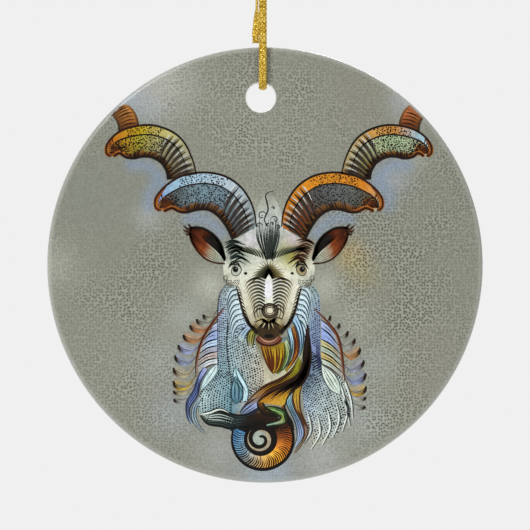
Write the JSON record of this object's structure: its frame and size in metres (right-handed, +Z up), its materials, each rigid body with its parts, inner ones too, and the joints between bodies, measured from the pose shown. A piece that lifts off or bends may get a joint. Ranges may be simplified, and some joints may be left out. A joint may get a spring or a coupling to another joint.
{
  "type": "printed ceramic hanging ornament",
  "caption": "Flat round glazed ceramic ornament, printed on its front, hung through a hole near the rim on a knotted loop of braided gilt cord.",
  "frame": {"origin": "the point on a hook where the inside of the cord's loop rests, at the top of the loop", "axes": "+Z up, along the hanging cord; -Y is the way the printed face looks; +X is to the right seen from the front"},
  "size_m": [0.073, 0.0078, 0.1136],
  "materials": {
    "white_ceramic": "fired white earthenware, smooth",
    "printed_coat": "printed picture under a clear gloss coat",
    "clear_glaze": "clear gloss glaze over white",
    "gilt_cord": "braided metallised yarn, glittering gold"
  },
  "bodies": {
    "hanger": {"cord_top_bend": "gilt_cord"},
    "cord": {"cord_main_run": "gilt_cord", "cord_back_run": "gilt_cord", "cord_knot": "gilt_cord", "cord_long_tail": "gilt_cord", "cord_short_tail": "gilt_cord"},
    "ornament": {"ceramic_disc": "white_ceramic", "front_print": "printed_coat", "back_glaze": "clear_glaze"}
  },
  "joints": [
    {"name": "cord_twist", "type": "hinge", "parent": "hanger", "child": "cord", "pos_m": [0, 0, -0.002], "axis": [0, 0, 1], "range_deg": [-180, 180]},
    {"name": "disc_swing", "type": "hinge", "parent": "cord", "child": "ornament", "pos_m": [-0.00033, 0, -0.04775], "axis": [0, 1, 0], "range_deg": [-60, 60]}
  ]
}
